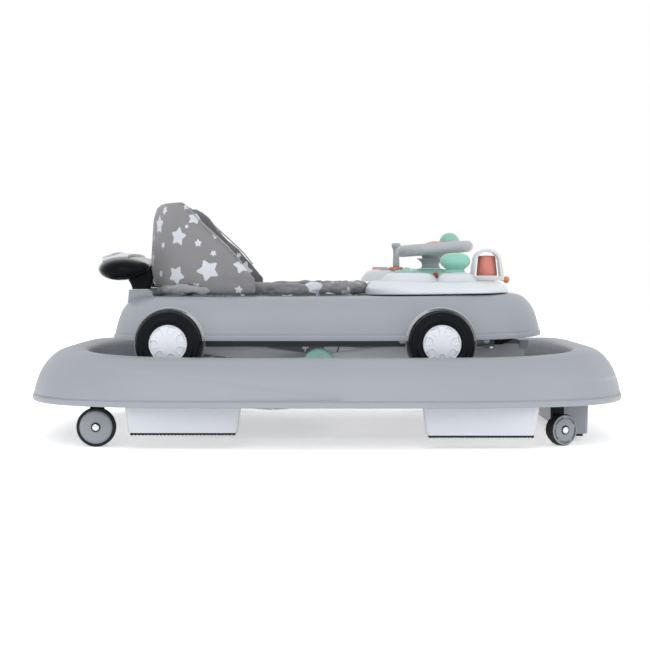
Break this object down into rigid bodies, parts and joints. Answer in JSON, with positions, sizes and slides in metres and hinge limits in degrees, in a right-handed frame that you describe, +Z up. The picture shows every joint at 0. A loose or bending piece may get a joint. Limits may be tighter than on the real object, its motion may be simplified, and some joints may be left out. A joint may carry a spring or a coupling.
{
  "type": "baby walker",
  "caption": "Baby walker folded flat: castor base ring, crossed folding frames, car-shaped tray with hanging fabric seat, steering wheel and toys.",
  "frame": {"origin": "on the floor under the middle of the base ring", "axes": "+X forward, from the push handle towards the toy tray; +Y to the child's left; +Z up"},
  "size_m": [0.708, 0.62, 0.284],
  "materials": {
    "grey_plastic": "satin moulded plastic",
    "light_grey_plastic": "satin moulded plastic",
    "dark_grey_plastic": "matte moulded plastic",
    "hub_grey": "matte moulded plastic",
    "white_plastic": "smooth moulded plastic",
    "black_plastic": "matte",
    "gloss_black": "glossy",
    "black_rubber": "matte rubber",
    "painted_frame": "powder coat",
    "mint_plastic": "smooth moulded plastic",
    "coral_plastic": "smooth moulded plastic",
    "orange_plastic": "smooth moulded plastic",
    "red_plastic": "smooth moulded plastic",
    "star_fabric": "woven grey cloth printed with white stars"
  },
  "bodies": {
    "base": {"base_shell": "grey_plastic", "base_rail_right": "dark_grey_plastic", "base_rail_left": "dark_grey_plastic", "stopper_cross": "grey_plastic", "stopper_pad_cross": "black_rubber", "stopper_rear_right": "white_plastic", "stopper_rear_left": "white_plastic", "stopper_front_right": "white_plastic", "stopper_front_left": "white_plastic", "stopper_pad_rear_right": "black_rubber", "stopper_pad_rear_left": "black_rubber", "stopper_pad_front_right": "black_rubber", "stopper_pad_front_left": "black_rubber"},
    "outer_frame": {"frame_outer": "painted_frame", "pivot_cap_right": "mint_plastic", "pivot_cap_left": "mint_plastic"},
    "inner_frame": {"frame_inner": "painted_frame"},
    "car_body": {"body_shell": "grey_plastic", "tray_rail_right": "dark_grey_plastic", "tray_rail_left": "dark_grey_plastic", "handle_stem_right": "gloss_black", "handle_stem_left": "gloss_black", "handle_bar": "gloss_black", "handle_panel": "white_plastic", "seat_rim": "star_fabric", "seat_back": "star_fabric", "seat_sling": "star_fabric", "toy_tray": "white_plastic", "mint_deck": "mint_plastic", "steering_column": "light_grey_plastic", "arch_housing": "white_plastic", "orange_bead": "orange_plastic", "adjuster_housing": "light_grey_plastic"},
    "steering": {"steering_wheel": "light_grey_plastic"},
    "horn": {"horn_button": "coral_plastic"},
    "gear": {"gear_lever": "dark_grey_plastic"},
    "ball": {"ball_lever": "mint_plastic"},
    "knob": {"mushroom_knob": "mint_plastic"},
    "drum": {"arch_drum": "coral_plastic"},
    "release": {"release_lever": "red_plastic"},
    "castor_rear_right": {"castor_fork_rear_right": "black_plastic"},
    "castor_wheel_rear_right": {"castor_tyre_rear_right": "black_rubber", "castor_hub_rear_right": "hub_grey"},
    "castor_rear_left": {"castor_fork_rear_left": "black_plastic"},
    "castor_wheel_rear_left": {"castor_tyre_rear_left": "black_rubber", "castor_hub_rear_left": "hub_grey"},
    "castor_front_right": {"castor_fork_front_right": "black_plastic"},
    "castor_wheel_front_right": {"castor_tyre_front_right": "black_rubber", "castor_hub_front_right": "hub_grey"},
    "castor_front_left": {"castor_fork_front_left": "black_plastic"},
    "castor_wheel_front_left": {"castor_tyre_front_left": "black_rubber", "castor_hub_front_left": "hub_grey"},
    "road_wheel_rear_right": {"road_tyre_rear_right": "gloss_black", "road_hubcap_rear_right": "white_plastic"},
    "road_wheel_rear_left": {"road_tyre_rear_left": "gloss_black", "road_hubcap_rear_left": "white_plastic"},
    "road_wheel_front_right": {"road_tyre_front_right": "gloss_black", "road_hubcap_front_right": "white_plastic"},
    "road_wheel_front_left": {"road_tyre_front_left": "gloss_black", "road_hubcap_front_left": "white_plastic"}
  },
  "joints": [
    {"name": "fold", "type": "hinge", "parent": "base", "child": "outer_frame", "pos_m": [-0.205, 0, 0.066], "axis": [0, -1, 0], "range_deg": [0, 34]},
    {"name": "cross_pivot", "type": "hinge", "parent": "outer_frame", "child": "inner_frame", "pos_m": [-0.01, 0, 0.092], "axis": [0, -1, 0], "range_deg": [-68, 0]},
    {"name": "body_pivot", "type": "hinge", "parent": "inner_frame", "child": "car_body", "pos_m": [-0.205, 0, 0.118], "axis": [0, -1, 0], "range_deg": [0, 34]},
    {"name": "castor_swivel_rear_right", "type": "hinge", "parent": "base", "child": "castor_rear_right", "pos_m": [-0.2585, -0.25, 0.05], "axis": [0, 0, 1], "continuous": true},
    {"name": "castor_roll_rear_right", "type": "hinge", "parent": "castor_rear_right", "child": "castor_wheel_rear_right", "pos_m": [-0.2605, -0.25, 0.0222], "axis": [0, -1, 0], "continuous": true},
    {"name": "castor_swivel_rear_left", "type": "hinge", "parent": "base", "child": "castor_rear_left", "pos_m": [-0.2585, 0.25, 0.05], "axis": [0, 0, 1], "continuous": true},
    {"name": "castor_roll_rear_left", "type": "hinge", "parent": "castor_rear_left", "child": "castor_wheel_rear_left", "pos_m": [-0.2605, 0.25, 0.0222], "axis": [0, 1, 0], "continuous": true},
    {"name": "castor_swivel_front_right", "type": "hinge", "parent": "base", "child": "castor_front_right", "pos_m": [0.268, -0.236, 0.05], "axis": [0, 0, 1], "continuous": true},
    {"name": "castor_roll_front_right", "type": "hinge", "parent": "castor_front_right", "child": "castor_wheel_front_right", "pos_m": [0.2654, -0.2375, 0.018], "axis": [0.5, -0.866, 0], "continuous": true},
    {"name": "castor_swivel_front_left", "type": "hinge", "parent": "base", "child": "castor_front_left", "pos_m": [0.268, 0.236, 0.05], "axis": [0, 0, 1], "continuous": true},
    {"name": "castor_roll_front_left", "type": "hinge", "parent": "castor_front_left", "child": "castor_wheel_front_left", "pos_m": [0.2654, 0.2375, 0.018], "axis": [0.5, 0.866, 0], "continuous": true},
    {"name": "road_wheel_spin_rear_right", "type": "hinge", "parent": "car_body", "child": "road_wheel_rear_right", "pos_m": [-0.181, -0.2255, 0.115], "axis": [0, 1, 0], "continuous": true},
    {"name": "road_wheel_spin_rear_left", "type": "hinge", "parent": "car_body", "child": "road_wheel_rear_left", "pos_m": [-0.181, 0.2255, 0.115], "axis": [0, 1, 0], "continuous": true},
    {"name": "road_wheel_spin_front_right", "type": "hinge", "parent": "car_body", "child": "road_wheel_front_right", "pos_m": [0.131, -0.2255, 0.115], "axis": [0, 1, 0], "continuous": true},
    {"name": "road_wheel_spin_front_left", "type": "hinge", "parent": "car_body", "child": "road_wheel_front_left", "pos_m": [0.131, 0.2255, 0.115], "axis": [0, 1, 0], "continuous": true},
    {"name": "steering_turn", "type": "hinge", "parent": "car_body", "child": "steering", "pos_m": [0.136, 0, 0.226], "axis": [-0.0767, 0, 0.9971], "range_deg": [-60, 60]},
    {"name": "horn_press", "type": "slide", "parent": "steering", "child": "horn", "axis": [0.0767, 0, -0.9971], "range_m": [0, 0.003], "stiffness_N_per_m": 400, "springref_m": -0.001},
    {"name": "gear_tilt", "type": "hinge", "parent": "car_body", "child": "gear", "pos_m": [0.09, 0.066, 0.2054], "axis": [0, 1, 0], "range_deg": [-12, 12]},
    {"name": "ball_spin", "type": "hinge", "parent": "car_body", "child": "ball", "pos_m": [0.16, 0.076, 0.22], "axis": [0, 0, 1], "continuous": true},
    {"name": "knob_turn", "type": "hinge", "parent": "car_body", "child": "knob", "pos_m": [0.1558, -0.09, 0.21], "axis": [0, 0, 1], "continuous": true},
    {"name": "drum_spin", "type": "hinge", "parent": "car_body", "child": "drum", "pos_m": [0.1975, -0.052, 0.205], "axis": [0, 0, 1], "continuous": true},
    {"name": "release_slide", "type": "slide", "parent": "car_body", "child": "release", "axis": [1, 0, 0], "range_m": [0, 0.008], "stiffness_N_per_m": 150, "springref_m": -0.002}
  ],
  "couplings": [
    {"joint": "cross_pivot", "follows": "fold", "ratio": -2},
    {"joint": "body_pivot", "follows": "fold", "ratio": 1}
  ]
}
